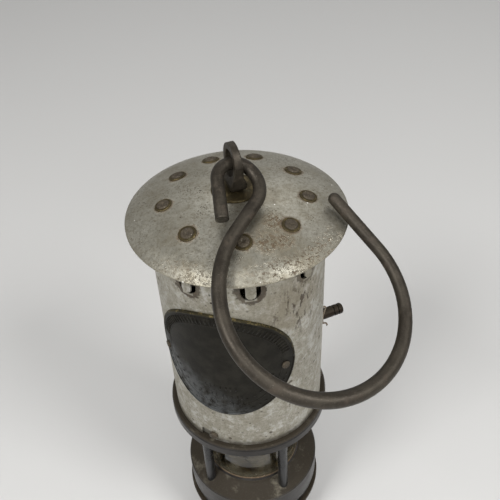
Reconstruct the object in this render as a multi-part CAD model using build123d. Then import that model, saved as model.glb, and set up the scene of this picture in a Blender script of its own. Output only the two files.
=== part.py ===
from build123d import *
import os
from math import asin, cos, degrees, radians, sin, sqrt

# Miner's flame safety lamp: an oil vessel screwed into a cage of five pillars, a glass,
# two gauzes, and a plain bonnet under a riveted hood with a swivel eye and a carrying hook.
# Millimetres, +Z up. The origin is the centre of the vessel's foot, on the surface that the
# lamp stands on. The identification plate faces -Y.

# Oil vessel and what it carries
VESSEL_RADIUS = 41.2
VESSEL_TOP = 26.6
VESSEL_WALL = 1.2
FLANGE_BOTTOM = 24.2
BODY_RADIUS = 38.6
FOOT_RADIUS = 36.2
NECK_RADIUS = 33.2
NECK_TOP = 42.4
BASE_PLATE_Z = 8.5
BASE_PLATE_THICKNESS = 1.2
WICK_TUBE_RADIUS = 4.0
WICK_TUBE_TOP = 70.0
PRICKER_X = 12.0
PRICKER_RADIUS = 1.0
PRICKER_RUNNING_GAP = 0.06
FILLER_X = -22.0

# Cage: lower ring, pillars, middle ring, glass and gauzes
LOWER_RING_RADIUS = 40.0
LOWER_RING_BOTTOM = 27.4
LOWER_RING_TOP = 49.7
GLASS_SEAT_TOP = 56.7
THREAD_CLEARANCE = 0.3
PILLAR_CIRCLE = 34.2
PILLAR_RADIUS = 2.8
PILLAR_SEAT = 50.5
FRONT_GAP_CENTRE = -100.4
FRONT_GAP = 79.6
PILLAR_COUNT = 5
MIDDLE_RING_RADIUS = 44.4
MIDDLE_RING_BOTTOM = 105.3
MIDDLE_RING_TOP = 112.0
SPIGOT_RADIUS = 40.0
SPIGOT_TOP = 122.5
GLASS_RADIUS = 28.1
GLASS_WALL = 4.6
GLASS_BOTTOM = 57.5
GLASS_TOP = 111.0
GAUZE_THICKNESS = 0.5
OUTER_GAUZE = (22.5, 19.0, 222.0)
INNER_GAUZE = (20.6, 17.2, 214.0)
GAUZE_FOOT_TOP = 113.4

# Bonnet, its vents, plate and side nozzle
BONNET_RADIUS = 41.25
BONNET_WALL = 0.9
BONNET_BOTTOM = 112.4
BONNET_TOP = 241.0
VENT_COUNT = 9
VENT_AZIMUTH = -85.0
VENT_WIDTH = 9.1
VENT_BOTTOM = 220.6
VENT_TOP = 232.0
TONGUE_WIDTH = 4.7
TONGUE_GAP = 1.1
TONGUE_LEAN = 5.0
STUD_AZIMUTH = -119.0
STUD_HEIGHT = 116.7
STUD_RADIUS = 2.2
STUD_COUNT = 3
SLOT_HALF_WIDTH = 2.4
BAYONET_TURN = 8.0
PLATE_AZIMUTH = -108.5
PLATE_HEIGHT = 175.5
PLATE_HALF_ANGLE = 52.5
PLATE_HALF_HEIGHT = 35.8
PLATE_THICKNESS = 0.8
PLATE_RIVETS = ((-155.5, 170.6), (-64.0, 172.6))
NOZZLE_AZIMUTH = 20.0
NOZZLE_HEIGHT = 148.5
NOZZLE_NECK_RADIUS = 2.6
NOZZLE_RADIUS = 3.1
NOZZLE_SHOULDER = 47.0
NOZZLE_TIP = 59.4

# Hood: a spherical crown, then a steeper band down to the rim
CROWN_TOP = 250.8
CROWN_SPHERE = 118.8
CROWN_EDGE = 45.6
HOOD_RADIUS = 51.1
HOOD_RIM = 238.0
HOOD_THICKNESS = 1.0
CREASE_RADIUS = 20.0
RIVET_CIRCLE = 32.6
RIVET_AZIMUTHS = (-87.0, -46.0, -7.0, 31.5, 71.5, 109.5, 145.0, 186.0, 229.0)
RIVET_SHANK = 1.55

# Swivel eye: a forged loop that turns on its shank in the hood's centre
EYE_AZIMUTH = 107.0
EYE_BOTTOM = 251.9
EYE_TOP = 273.6
EYE_HALF_WIDTH = 8.0
EYE_HOLE_HALF_WIDTH = 5.2
EYE_HOLE = (258.2, 270.7)
EYE_THICKNESS = (7.8, 3.0)
SHANK_RADIUS = 3.0
SHANK_RUNNING_GAP = 0.06

# Hook: a round bar bent in one plane that rests tilted over the hood.
# Its swing axis is level, at HOOK_AXIS_AZIMUTH.
HOOK_PIVOT = (-2.1, -1.6, 265.3)
HOOK_AXIS_AZIMUTH = 35.0
HOOK_TILT = 29.5
HOOK_START = (-18.1, -21.6)
HOOK_HEADING = 62.1
# Each bend is a run (length, 0) or an arc (radius, turn), left turns positive.
HOOK_BENDS = ((18.9, 0), (8.6, -133.7), (12.3, -83.4), (17.9, 0),
              (50.3, 43.5), (39.8, 144.5), (42.1, 62.6), (28.2, 0))
HOOK_BAR_RADII = (2.9, 2.9, 3.0, 3.1, 3.2, 3.3, 3.0, 2.8, 2.75)


def turned(*corners):
    """Solid of revolution about Z of a half-section given by its (radius, height) corners."""
    outline = Polyline(*[(radius, 0, height) for radius, height in corners], close=True)
    return revolve(make_face(outline), Axis.Z, 360)


def tube(outer, inner, bottom, top):
    return Pos(0, 0, bottom) * extrude(Circle(outer) - Circle(inner), top - bottom)


def rod(radius, bottom, top, x=0.0, y=0.0):
    return Pos(x, y, bottom) * extrude(Circle(radius), top - bottom)


def around(piece, azimuths):
    return [Rot(0, 0, azimuth) * piece for azimuth in azimuths]


def spaced(first, count):
    return [first + 360 / count * number for number in range(count)]


def outward(azimuth, height, radius=0.0):
    """Place whose Z points away from the lamp's axis, with X down and Y along the wall."""
    return Rot(0, 0, azimuth) * Pos(radius, 0, height) * Rot(0, 90, 0)


def crown_height(radius):
    """Height of the crown's outer surface at a radius."""
    return CROWN_TOP - CROWN_SPHERE + sqrt(CROWN_SPHERE ** 2 - radius ** 2)


# Oil vessel group

def inner_radius(height):
    """Inside radius of the vessel's tapered wall."""
    return FOOT_RADIUS - VESSEL_WALL + (BODY_RADIUS - FOOT_RADIUS) * height / FLANGE_BOTTOM


def oil_vessel():
    """Tapered vessel with a flat top flange and a screwed neck, open below its base plate."""
    ceiling = VESSEL_TOP - VESSEL_WALL
    return turned(
        (FOOT_RADIUS - 0.5, 0), (FOOT_RADIUS, 0.6), (BODY_RADIUS, FLANGE_BOTTOM),
        (VESSEL_RADIUS - 0.5, FLANGE_BOTTOM), (VESSEL_RADIUS, FLANGE_BOTTOM + 0.5),
        (VESSEL_RADIUS, VESSEL_TOP - 0.6), (VESSEL_RADIUS - 0.6, VESSEL_TOP),
        (NECK_RADIUS, VESSEL_TOP), (NECK_RADIUS, NECK_TOP), (NECK_RADIUS - 2, NECK_TOP),
        (NECK_RADIUS - 2, ceiling), (inner_radius(ceiling), ceiling), (inner_radius(0), 0))


def vessel_base_plate():
    top = BASE_PLATE_Z + BASE_PLATE_THICKNESS
    disc = turned((0, BASE_PLATE_Z), (inner_radius(BASE_PLATE_Z), BASE_PLATE_Z),
                  (inner_radius(top), top), (0, top))
    disc -= rod(2.2, 0, NECK_TOP, PRICKER_X)
    return disc - rod(5.0, 0, NECK_TOP, FILLER_X)


def filler_plug():
    head_bottom, head_top = 4.3, 7.7
    plug = rod(7.0, head_bottom, head_top, FILLER_X) + rod(5.0, head_top, 14.0, FILLER_X)
    slot = Pos(FILLER_X, 0, head_bottom) * Box(15, 1.6, 2.4)
    return plug - slot


def filler_washer():
    return Pos(FILLER_X, 0, 0) * tube(7.0, 5.0, 7.7, BASE_PLATE_Z)


def cotton_wadding():
    block = rod(35.4, 10.5, 24.6)
    block -= rod(WICK_TUBE_RADIUS + 0.3, 0, NECK_TOP)
    block -= rod(2.5, 0, NECK_TOP, PRICKER_X)
    return block - rod(6.0, 0, 15.0, FILLER_X)


def burner_plate():
    disc = rod(NECK_RADIUS - 2, 40.6, NECK_TOP)
    disc -= rod(WICK_TUBE_RADIUS, 0, WICK_TUBE_TOP)
    return disc - rod(2.2, 0, NECK_TOP + 1, PRICKER_X)


def wick_tube():
    body = tube(WICK_TUBE_RADIUS, WICK_TUBE_RADIUS - 0.7, 12.0, WICK_TUBE_TOP)
    collar = tube(6.5, WICK_TUBE_RADIUS, NECK_TOP, NECK_TOP + 2.5)
    picking_slot = Pos(WICK_TUBE_RADIUS, 0, WICK_TUBE_TOP - 5) * Box(3, 1.8, 7)
    return body + collar - picking_slot


def wick():
    stem = rod(WICK_TUBE_RADIUS - 0.7, 12.5, WICK_TUBE_TOP + 1.8)
    return chamfer(stem.edges().group_by(Axis.Z)[-1], 0.8)


def pricker_tube():
    bore = PRICKER_RADIUS + PRICKER_RUNNING_GAP
    return Pos(PRICKER_X, 0, 0) * tube(2.2, bore, BASE_PLATE_Z, NECK_TOP + 3)


def pricker_rod():
    bend_z, tip_x = 64.0, WICK_TUBE_RADIUS + 0.5
    path = FilletPolyline((PRICKER_X, 0, 2.0), (PRICKER_X, 0, bend_z), (tip_x, 0, bend_z), radius=3)
    return sweep(Plane.XY.offset(2.0) * Pos(PRICKER_X, 0) * Circle(PRICKER_RADIUS), path=path)


def pricker_knob():
    knob = rod(4.2, 1.0, 4.2, PRICKER_X)
    knob = chamfer(knob.edges(), 0.5)
    grips = [Pos(PRICKER_X, 0, 0) * Rot(0, 0, azimuth) * rod(0.45, 0, 5, 4.3) for azimuth in spaced(0, 16)]
    return knob - grips - rod(PRICKER_RADIUS, 2.0, 5, PRICKER_X)


# Cage group

def lower_ring():
    """Ring with a coned top that rises to the glass seat."""
    bore = NECK_RADIUS + THREAD_CLEARANCE
    ring = turned(
        (LOWER_RING_RADIUS - 1.0, LOWER_RING_BOTTOM), (LOWER_RING_RADIUS - 0.6, 31.0),
        (LOWER_RING_RADIUS, 33.4), (LOWER_RING_RADIUS, LOWER_RING_TOP - 0.7),
        (LOWER_RING_RADIUS - 0.7, LOWER_RING_TOP), (30.4, 55.1), (29.0, 55.6), (28.4, GLASS_SEAT_TOP),
        (GLASS_RADIUS - GLASS_WALL, GLASS_SEAT_TOP), (GLASS_RADIUS - GLASS_WALL, 44.6),
        (bore, 44.6), (bore, LOWER_RING_BOTTOM))
    seats = around(rod(PILLAR_RADIUS, PILLAR_SEAT, 60, PILLAR_CIRCLE), pillar_azimuths())
    holes = around(rod(1.8, 44, 60, PILLAR_CIRCLE), pillar_azimuths())
    return ring - seats - holes


def pillar_azimuths():
    first = FRONT_GAP_CENTRE + FRONT_GAP / 2
    rest = (360 - FRONT_GAP) / (PILLAR_COUNT - 1)
    return [first + rest * number for number in range(PILLAR_COUNT)]


def pillar():
    """One pillar at azimuth 0, sunk in the lower ring, with a tenon at each end."""
    post = rod(PILLAR_RADIUS, PILLAR_SEAT, MIDDLE_RING_BOTTOM, PILLAR_CIRCLE)
    lower_tenon = rod(1.8, 45.2, PILLAR_SEAT, PILLAR_CIRCLE)
    upper_tenon = rod(1.8, MIDDLE_RING_BOTTOM, MIDDLE_RING_TOP, PILLAR_CIRCLE)
    return post + lower_tenon + upper_tenon


def middle_ring():
    edge = 0.9
    ring = turned(
        (MIDDLE_RING_RADIUS - edge, MIDDLE_RING_BOTTOM), (MIDDLE_RING_RADIUS, MIDDLE_RING_BOTTOM + edge),
        (MIDDLE_RING_RADIUS, MIDDLE_RING_TOP - 1.6), (MIDDLE_RING_RADIUS - 0.4, MIDDLE_RING_TOP - 0.5),
        (MIDDLE_RING_RADIUS - 1.3, MIDDLE_RING_TOP), (SPIGOT_RADIUS, MIDDLE_RING_TOP),
        (SPIGOT_RADIUS, SPIGOT_TOP), (37.2, SPIGOT_TOP), (37.2, MIDDLE_RING_TOP),
        (GLASS_RADIUS + 0.8, MIDDLE_RING_TOP), (GLASS_RADIUS + 0.8, MIDDLE_RING_BOTTOM))
    holes = around(rod(1.8, 100, 114, PILLAR_CIRCLE), pillar_azimuths())
    sockets = around(outward(0, STUD_HEIGHT) * rod(1.4, 36, 41), spaced(STUD_AZIMUTH, STUD_COUNT))
    return ring - holes - sockets


def bayonet_studs():
    stud = outward(0, STUD_HEIGHT) * (rod(STUD_RADIUS, SPIGOT_RADIUS, 42.5) + rod(1.4, 37.2, SPIGOT_RADIUS))
    stud = fillet(stud.edges().sort_by(Axis.X)[-1:], 0.6)
    return around(stud, spaced(STUD_AZIMUTH, STUD_COUNT))


def glass():
    cylinder = tube(GLASS_RADIUS, GLASS_RADIUS - GLASS_WALL, GLASS_BOTTOM, GLASS_TOP)
    return chamfer(cylinder.edges(), 0.5)


def lower_gasket():
    return tube(GLASS_RADIUS, GLASS_RADIUS - GLASS_WALL, GLASS_SEAT_TOP, GLASS_BOTTOM)


def upper_gasket():
    return tube(GLASS_RADIUS, GLASS_RADIUS - GLASS_WALL, GLASS_TOP, MIDDLE_RING_TOP)


def gauze(foot_radius, top_radius, top):
    """A slightly tapered cap of wire gauze with a small flange at its foot."""
    skin = GAUZE_THICKNESS
    return turned(
        (foot_radius + 1.2, GAUZE_FOOT_TOP), (foot_radius + 1.2, GAUZE_FOOT_TOP + skin),
        (foot_radius, GAUZE_FOOT_TOP + skin), (top_radius, top - 1), (top_radius - 1, top), (0, top),
        (0, top - skin), (top_radius - 1.2, top - skin), (top_radius - skin, top - 1.2),
        (foot_radius - skin, GAUZE_FOOT_TOP))


def gauze_foot_ring():
    return turned((19.4, MIDDLE_RING_TOP), (36.6, MIDDLE_RING_TOP), (36.6, GAUZE_FOOT_TOP),
                  (19.4, GAUZE_FOOT_TOP))


def gauze_clamp_ring():
    ring = turned((25.2, GAUZE_FOOT_TOP), (37.2, GAUZE_FOOT_TOP), (37.2, 119.0), (34.5, 119.0),
                  (34.5, 116.0), (25.2, 116.0))
    notches = around(Pos(36, 0, 119) * Box(6, 4, 3), spaced(0, 4))
    return ring - notches


# Bonnet group

def vent_cut(width, bottom, top):
    """Round-bottomed upright slot through the wall at azimuth 0."""
    half = width / 2
    straight = top - bottom - half
    slot = extrude(Circle(half), 10) + Pos(-straight / 2, 0, 5) * Box(straight, width, 10)
    return outward(0, bottom + half, BONNET_RADIUS - 5) * slot


def vent_tongue():
    """Flat tongue left in a vent, hinged at the vent's top and leaning out a little."""
    half, length = TONGUE_WIDTH / 2, VENT_TOP - VENT_BOTTOM - TONGUE_GAP + 1.2
    straight = length - half
    flat = Pos(straight / 2, 0) * Rectangle(straight, TONGUE_WIDTH) + Pos(straight, 0) * Circle(half)
    blade = extrude(flat, BONNET_WALL)
    return outward(0, VENT_TOP + 1.2, BONNET_RADIUS - BONNET_WALL - 0.1) * Rot(0, -TONGUE_LEAN, 0) * blade


def bayonet_slot():
    """Slot for one stud at azimuth 0: level from the stud, then open at the bonnet's foot."""
    width = 2 * SLOT_HALF_WIDTH
    hole = outward(0, STUD_HEIGHT) * rod(SLOT_HALF_WIDTH, 38, 44)
    level = around(hole, [-BAYONET_TURN * step / 8 for step in range(9)])
    mouth = outward(-BAYONET_TURN, STUD_HEIGHT - 3) * Pos(0, 0, 41) * Box(6, width, 6)
    return level + [mouth]


def bonnet_shell():
    shell = tube(BONNET_RADIUS, BONNET_RADIUS - BONNET_WALL, BONNET_BOTTOM, BONNET_TOP)
    shell -= around(vent_cut(VENT_WIDTH, VENT_BOTTOM, VENT_TOP), spaced(VENT_AZIMUTH, VENT_COUNT))
    shell += around(vent_tongue(), spaced(VENT_AZIMUTH, VENT_COUNT))
    for azimuth in spaced(STUD_AZIMUTH, STUD_COUNT):
        shell -= [Rot(0, 0, azimuth) * cutter for cutter in bayonet_slot()]
    return shell - outward(NOZZLE_AZIMUTH, NOZZLE_HEIGHT) * rod(NOZZLE_NECK_RADIUS, 38, 44)


def crown_ring():
    """Flanged ring inside the bonnet's top that the hood is riveted to."""
    inner, outer, gauge = 28.0, BONNET_RADIUS - BONNET_WALL, 1.0
    under = HOOD_THICKNESS + 0.02
    ring = turned(
        (inner, crown_height(inner) - under), (RIVET_CIRCLE, crown_height(RIVET_CIRCLE) - under),
        (outer, crown_height(outer) - under), (outer, 234.0), (outer - gauge, 234.0),
        (outer - gauge, crown_height(outer) - under - gauge),
        (RIVET_CIRCLE, crown_height(RIVET_CIRCLE) - under - gauge),
        (inner, crown_height(inner) - under - gauge))
    holes = [place * rod(RIVET_SHANK, -4, 2) for place in rivet_places()]
    return ring - holes


def hood():
    edge_z = crown_height(CROWN_EDGE)
    middle = CROWN_EDGE / 2
    outer_arc = ThreePointArc((0, 0, CROWN_TOP), (middle, 0, crown_height(middle)), (CROWN_EDGE, 0, edge_z))
    inner_arc = Pos(0, 0, -HOOD_THICKNESS) * outer_arc
    rim_drop = HOOD_RIM + 0.2
    section = make_face(
        outer_arc.edges()
        + Polyline((CROWN_EDGE, 0, edge_z), (HOOD_RADIUS, 0, rim_drop), (HOOD_RADIUS, 0, HOOD_RIM - 0.3),
                   (HOOD_RADIUS - 0.7, 0, HOOD_RIM - 0.6),
                   (CROWN_EDGE, 0, edge_z - HOOD_THICKNESS)).edges()
        + inner_arc.edges()
        + Line((0, 0, CROWN_TOP - HOOD_THICKNESS), (0, 0, CROWN_TOP)).edges())
    crease = section.vertices().sort_by_distance((CROWN_EDGE, 0, edge_z))[0]
    cap = revolve(fillet(crease, CREASE_RADIUS), Axis.Z, 360)
    cap -= rod(SHANK_RADIUS + SHANK_RUNNING_GAP, 240, 260)
    return cap - [place * rod(RIVET_SHANK, -4, 2) for place in rivet_places()]


def rivet_places():
    """Places on the crown, with Z along its outward normal, for the hood's rivets."""
    lean = degrees(asin(RIVET_CIRCLE / CROWN_SPHERE))
    seat = Pos(RIVET_CIRCLE, 0, crown_height(RIVET_CIRCLE)) * Rot(0, lean, 0)
    return [Rot(0, 0, azimuth) * seat for azimuth in RIVET_AZIMUTHS]


def hood_washers():
    washer = chamfer(tube(4.1, RIVET_SHANK, 0.02, 0.5).edges().group_by(Axis.Z)[-1], 0.2)
    return [place * washer for place in rivet_places()]


def hood_rivets():
    head = chamfer(rod(2.9, 0.5, 1.1).edges().group_by(Axis.Z)[-1], 0.45) - Pos(0, 0, 3.1) * Sphere(2.4)
    rivet = head + rod(RIVET_SHANK, -3.0, 0.6) + rod(2.6, -3.0, -2.2)
    return [place * rivet for place in rivet_places()]


def identification_plate():
    """Oval plate bent to the bonnet: an ellipse in the unrolled wall."""
    rim = [(BONNET_RADIUS * sin(radians(PLATE_HALF_ANGLE * cos(radians(turn)))),
            PLATE_HALF_HEIGHT * sin(radians(turn))) for turn in range(0, 360, 15)]
    prism = extrude(make_face(Spline(*rim, periodic=True)), 50)
    prism = outward(PLATE_AZIMUTH, PLATE_HEIGHT) * Rot(0, 0, 90) * prism
    sheet = tube(BONNET_RADIUS + PLATE_THICKNESS, BONNET_RADIUS, 130, 220)
    plate = sheet & prism
    return plate - [outward(azimuth, height) * rod(1.2, 38, 46) for azimuth, height in PLATE_RIVETS]


def plate_rivets():
    seat = BONNET_RADIUS + PLATE_THICKNESS
    head = chamfer(rod(2.1, seat, seat + 0.9).edges().group_by(Axis.Z)[-1], 0.4)
    rivet = head + rod(1.2, BONNET_RADIUS, seat + 0.2)
    return [outward(azimuth, height) * rivet for azimuth, height in PLATE_RIVETS]


def side_nozzle():
    """Bored stub through the wall: a neck with a collar, then a grooved barrel."""
    wall = BONNET_RADIUS
    barrel = rod(NOZZLE_RADIUS, NOZZLE_SHOULDER, NOZZLE_TIP)
    body = fillet(barrel.edges().group_by(Axis.Z)[-1], 1.2)
    body += rod(NOZZLE_NECK_RADIUS, 36.5, NOZZLE_SHOULDER + 1)
    body += chamfer(rod(4.6, wall + 0.05, wall + 1.6).edges().group_by(Axis.Z)[-1], 0.7)
    for groove in (NOZZLE_TIP - 6.4, NOZZLE_TIP - 3.6):
        body -= tube(NOZZLE_RADIUS + 1, NOZZLE_RADIUS - 0.7, groove, groove + 1.0)
    body -= rod(1.1, 30, 65)
    return outward(NOZZLE_AZIMUTH, NOZZLE_HEIGHT) * body


def nozzle_nut():
    nut = extrude(RegularPolygon(5.0, 6), 2.4) - rod(NOZZLE_NECK_RADIUS, -1, 4)
    return outward(NOZZLE_AZIMUTH, NOZZLE_HEIGHT, 37.6) * nut


def seal_wire():
    """Twist of soft wire left round the nozzle's neck, with an open loop above it and a tail below."""
    gauge = 0.5
    turn = Torus(NOZZLE_NECK_RADIUS + gauge + 0.05, gauge)
    loop = Pos(-NOZZLE_NECK_RADIUS - 3.0, 0.4, 0.8) * Rot(70, 0, 25) * Torus(1.8, gauge)
    tail = JernArc((2.2, -2.25, 0), (1, -0.45, 0), 3.2, -115)
    tail = sweep(Plane(tail @ 0, z_dir=tail % 0) * Circle(gauge * 0.9), path=tail)
    return outward(NOZZLE_AZIMUTH, NOZZLE_HEIGHT, BONNET_RADIUS + 2.4) * (turn + loop + tail)


def eye_washer():
    """Brass washer dished to the crown under the swivel eye."""
    radius, gauge, bore = 10.9, 0.85, SHANK_RADIUS + SHANK_RUNNING_GAP
    middle = (radius + bore) / 2
    return turned(
        (bore, crown_height(bore) + 0.05), (middle, crown_height(middle) + 0.05),
        (radius, crown_height(radius) + 0.05),
        (radius, crown_height(radius) + 0.5), (radius - 0.5, crown_height(radius) + gauge),
        (bore, crown_height(bore) + gauge))


# Swivel eye

def swivel_eye():
    """Forged loop, thick at its foot and thin at its crown, on a riveted shank."""
    arch_z = EYE_TOP - EYE_HALF_WIDTH
    low, high = EYE_HOLE
    side = Polyline((EYE_HALF_WIDTH, 0, arch_z), (5.6, 0, EYE_BOTTOM + 1.2), (4.4, 0, EYE_BOTTOM),
                    (-4.4, 0, EYE_BOTTOM), (-5.6, 0, EYE_BOTTOM + 1.2), (-EYE_HALF_WIDTH, 0, arch_z))
    arch = ThreePointArc((-EYE_HALF_WIDTH, 0, arch_z), (0, 0, EYE_TOP), (EYE_HALF_WIDTH, 0, arch_z))
    blank = extrude(make_face(side.edges() + arch.edges()), 10, both=True)
    round_hole = Rot(90, 0, 0) * extrude(Circle(EYE_HOLE_HALF_WIDTH), 10, both=True)
    low_z, high_z = low + EYE_HOLE_HALF_WIDTH, high - EYE_HOLE_HALF_WIDTH
    blank -= Pos(0, 0, low_z) * round_hole
    blank -= Pos(0, 0, high_z) * round_hole
    blank -= Pos(0, 0, (low_z + high_z) / 2) * Box(2 * EYE_HOLE_HALF_WIDTH, 20, high_z - low_z)
    foot, top = EYE_THICKNESS[0] / 2, EYE_THICKNESS[1] / 2
    wedge = make_face(Polyline(
        (0, foot - 1.6, EYE_BOTTOM), (0, foot - 0.2, EYE_BOTTOM + 1.6), (0, foot, EYE_BOTTOM + 4),
        (0, foot - 1.8, EYE_BOTTOM + 8.5), (0, top, EYE_TOP), (0, -top, EYE_TOP),
        (0, -foot + 1.8, EYE_BOTTOM + 8.5), (0, -foot, EYE_BOTTOM + 4),
        (0, -foot + 0.2, EYE_BOTTOM + 1.6), (0, -foot + 1.6, EYE_BOTTOM), close=True))
    loop = blank & extrude(wedge, 12, both=True)
    shank = rod(SHANK_RADIUS, 246.6, EYE_BOTTOM + 1) + rod(4.2, 246.6, 247.4)
    return Rot(0, 0, EYE_AZIMUTH) * loop + shank


def swivel_burr():
    return tube(6.0, SHANK_RADIUS, 247.4, 248.6)


# Hook

def hook_plane():
    """Plane of the hook at rest: X along the swing axis, Y uphill."""
    return Plane(Pos(*HOOK_PIVOT) * Rot(0, 0, HOOK_AXIS_AZIMUTH) * Rot(HOOK_TILT, 0, 0))


def hook():
    pieces = []
    start = Vector(*HOOK_START)
    heading = Vector(cos(radians(HOOK_HEADING)), sin(radians(HOOK_HEADING)))
    for size, turn in HOOK_BENDS:
        piece = JernArc(start, heading, size, turn) if turn else Line(start, start + heading * size)
        pieces.append(piece)
        start, heading = piece @ 1, piece % 1
    bends = Wire([edge for piece in pieces for edge in piece.edges()])
    path = hook_plane() * bends
    last = len(HOOK_BAR_RADII) - 1
    sections = [Plane(path @ (step / last), z_dir=path % (step / last)) * Circle(radius)
                for step, radius in enumerate(HOOK_BAR_RADII)]
    bar = sweep(sections, path=path, multisection=True)
    return bar + Pos(*(path @ 1)) * Sphere(HOOK_BAR_RADII[-1])


def main():
    os.makedirs("parts", exist_ok=True)
    nodes = {
        "oil_vessel": oil_vessel(), "vessel_base_plate": vessel_base_plate(),
        "filler_plug": filler_plug(), "filler_washer": filler_washer(),
        "cotton_wadding": cotton_wadding(), "burner_plate": burner_plate(),
        "wick_tube": wick_tube(), "wick": wick(), "pricker_tube": pricker_tube(),
        "pricker_rod": pricker_rod(), "pricker_knob": pricker_knob(),
        "lower_ring": lower_ring(), "middle_ring": middle_ring(),
        "bayonet_studs": bayonet_studs(), "glass": glass(),
        "lower_gasket": lower_gasket(), "upper_gasket": upper_gasket(),
        "gauze_foot_ring": gauze_foot_ring(), "gauze_clamp_ring": gauze_clamp_ring(),
        "outer_gauze": gauze(*OUTER_GAUZE), "inner_gauze": gauze(*INNER_GAUZE),
        "bonnet_shell": bonnet_shell(), "crown_ring": crown_ring(), "hood": hood(),
        "hood_washers": hood_washers(), "hood_rivets": hood_rivets(),
        "identification_plate": identification_plate(), "plate_rivets": plate_rivets(),
        "side_nozzle": side_nozzle(), "nozzle_nut": nozzle_nut(), "seal_wire": seal_wire(),
        "eye_washer": eye_washer(), "swivel_eye": swivel_eye(), "swivel_burr": swivel_burr(),
        "hook": hook(),
    }
    for number, post in enumerate(around(pillar(), pillar_azimuths()), 1):
        nodes[f"pillar_{number}"] = post
    for name, shape in nodes.items():
        if isinstance(shape, list):
            shape = Compound(children=shape)
        export_step(shape, f"parts/{name}.step")


main()
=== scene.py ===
import math
import random

import bmesh
import bpy
from mathutils import Matrix, Vector


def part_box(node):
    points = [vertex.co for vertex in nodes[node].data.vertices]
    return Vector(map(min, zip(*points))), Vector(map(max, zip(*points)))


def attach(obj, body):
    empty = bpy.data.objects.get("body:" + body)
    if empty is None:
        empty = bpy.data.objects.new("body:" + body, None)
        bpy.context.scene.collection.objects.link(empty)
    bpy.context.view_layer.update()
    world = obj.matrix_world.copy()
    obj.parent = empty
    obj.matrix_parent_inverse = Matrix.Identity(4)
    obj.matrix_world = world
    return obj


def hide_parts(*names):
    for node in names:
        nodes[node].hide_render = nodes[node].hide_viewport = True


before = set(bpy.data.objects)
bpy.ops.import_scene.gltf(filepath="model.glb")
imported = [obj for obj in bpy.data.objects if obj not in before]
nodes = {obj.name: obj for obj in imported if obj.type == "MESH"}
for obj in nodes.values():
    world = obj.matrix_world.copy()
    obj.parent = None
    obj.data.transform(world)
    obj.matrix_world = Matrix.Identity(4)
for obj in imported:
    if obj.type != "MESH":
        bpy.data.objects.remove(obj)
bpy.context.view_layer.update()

# Miner's flame safety lamp, in metres. The CAD model gives every place; the values below
# repeat the few driving dimensions that a box can't tell.
MM = 0.001
BONNET_RADIUS = 41.25 * MM
VENT_AZIMUTH = math.radians(-85)
VENT_COUNT = 9
VENT_HEIGHT = 226.3 * MM
RIVET_CIRCLE = 32.6 * MM
RIVET_AZIMUTHS = [math.radians(degree) for degree in (-87, -46, -7, 31.5, 71.5, 109.5, 145, 186, 229)]
TONGUE_HALF_WIDTH = 2.5 * MM
PLATE_RIM = BONNET_RADIUS + 0.8 * MM
PLATE_AZIMUTH = math.radians(-108.5)
PLATE_HALF_ANGLE = math.radians(52.5)
NOZZLE_AZIMUTH = math.radians(20)
NOZZLE_NECK_RADIUS = 2.6 * MM
GAUZE_TAPER = 3.5 * MM
STRAND_RADIUS = 0.27 * MM

# Heights and radii where a finish or a painted shade changes
# Painted shade: the bonnet is darkened below this height and fades out 3.4 mm above it, for the shadow in the
# gap at its foot
BONNET_FOOT_SHADE = 113.6 * MM
TINNED_FROM = 112.3 * MM
CHAR_START = 69.0 * MM
HOOD_BAND_START = 42 * MM
HOOD_RIM_START = 50.2 * MM

# Colours, linear
TIN = (0.46, 0.445, 0.385, 1)
TIN_BRIGHT = (0.68, 0.67, 0.61, 1)
TIN_DULL = (0.25, 0.23, 0.175, 1)
PIT = (0.075, 0.06, 0.043, 1)
RUST = (0.062, 0.037, 0.016, 1)
RUST_PALE = (0.125, 0.078, 0.033, 1)
RUST_DARK = (0.028, 0.018, 0.009, 1)
DARK_STEEL = (0.045, 0.035, 0.026, 1)
FORGED = (0.055, 0.047, 0.036, 1)
DUST = (0.17, 0.155, 0.12, 1)
BRASS = (0.17, 0.13, 0.06, 1)
BRASS_TARNISH = (0.06, 0.047, 0.024, 1)
LIGHT = (1, 0.99, 0.965)

# Camera and floor
CAMERA_PLACE = (0, -0.24529, 0.42504)
CAMERA_YAW, CAMERA_PITCH, CAMERA_ROLL = 0.021, 0.711, -0.055
LENS_MM = 48.4
SENSOR_MM = 36
FLOOR_REACH = 4.0


# Materials

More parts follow.
